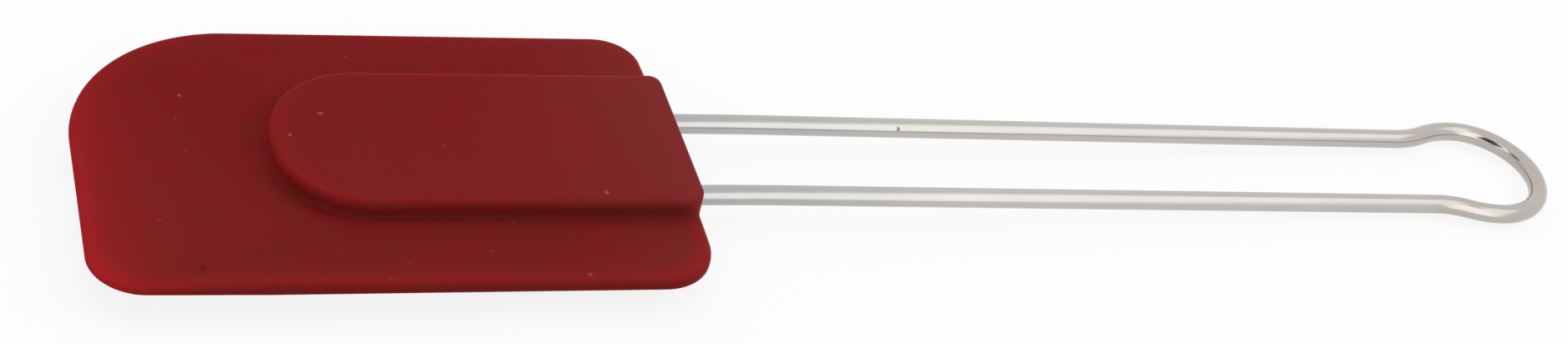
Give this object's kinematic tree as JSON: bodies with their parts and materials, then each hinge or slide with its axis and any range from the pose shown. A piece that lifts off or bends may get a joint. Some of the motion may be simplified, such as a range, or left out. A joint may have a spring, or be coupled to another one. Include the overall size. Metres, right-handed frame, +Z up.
{
  "type": "spatula",
  "caption": "Flat silicone scraper head with a raised boss, pushed on the two legs of a bent wire handle that ends in a hanging loop.",
  "frame": {"origin": "on the surface the spatula lies on, under the middle of its length and width", "axes": "+X from the blade's tip to the hanging loop, +Y towards the blade's large tip corner, +Z up"},
  "size_m": [0.2536, 0.0598, 0.009],
  "materials": {
    "silicone": "matte deep red silicone",
    "polished_steel": "polished stainless wire"
  },
  "bodies": {
    "handle": {"wire_handle": "polished_steel"},
    "head": {"silicone_head": "silicone"}
  },
  "joints": [
    {"name": "head_pull_off", "type": "slide", "parent": "handle", "child": "head", "axis": [-1, 0, 0], "range_m": [0, 0.06]}
  ]
}
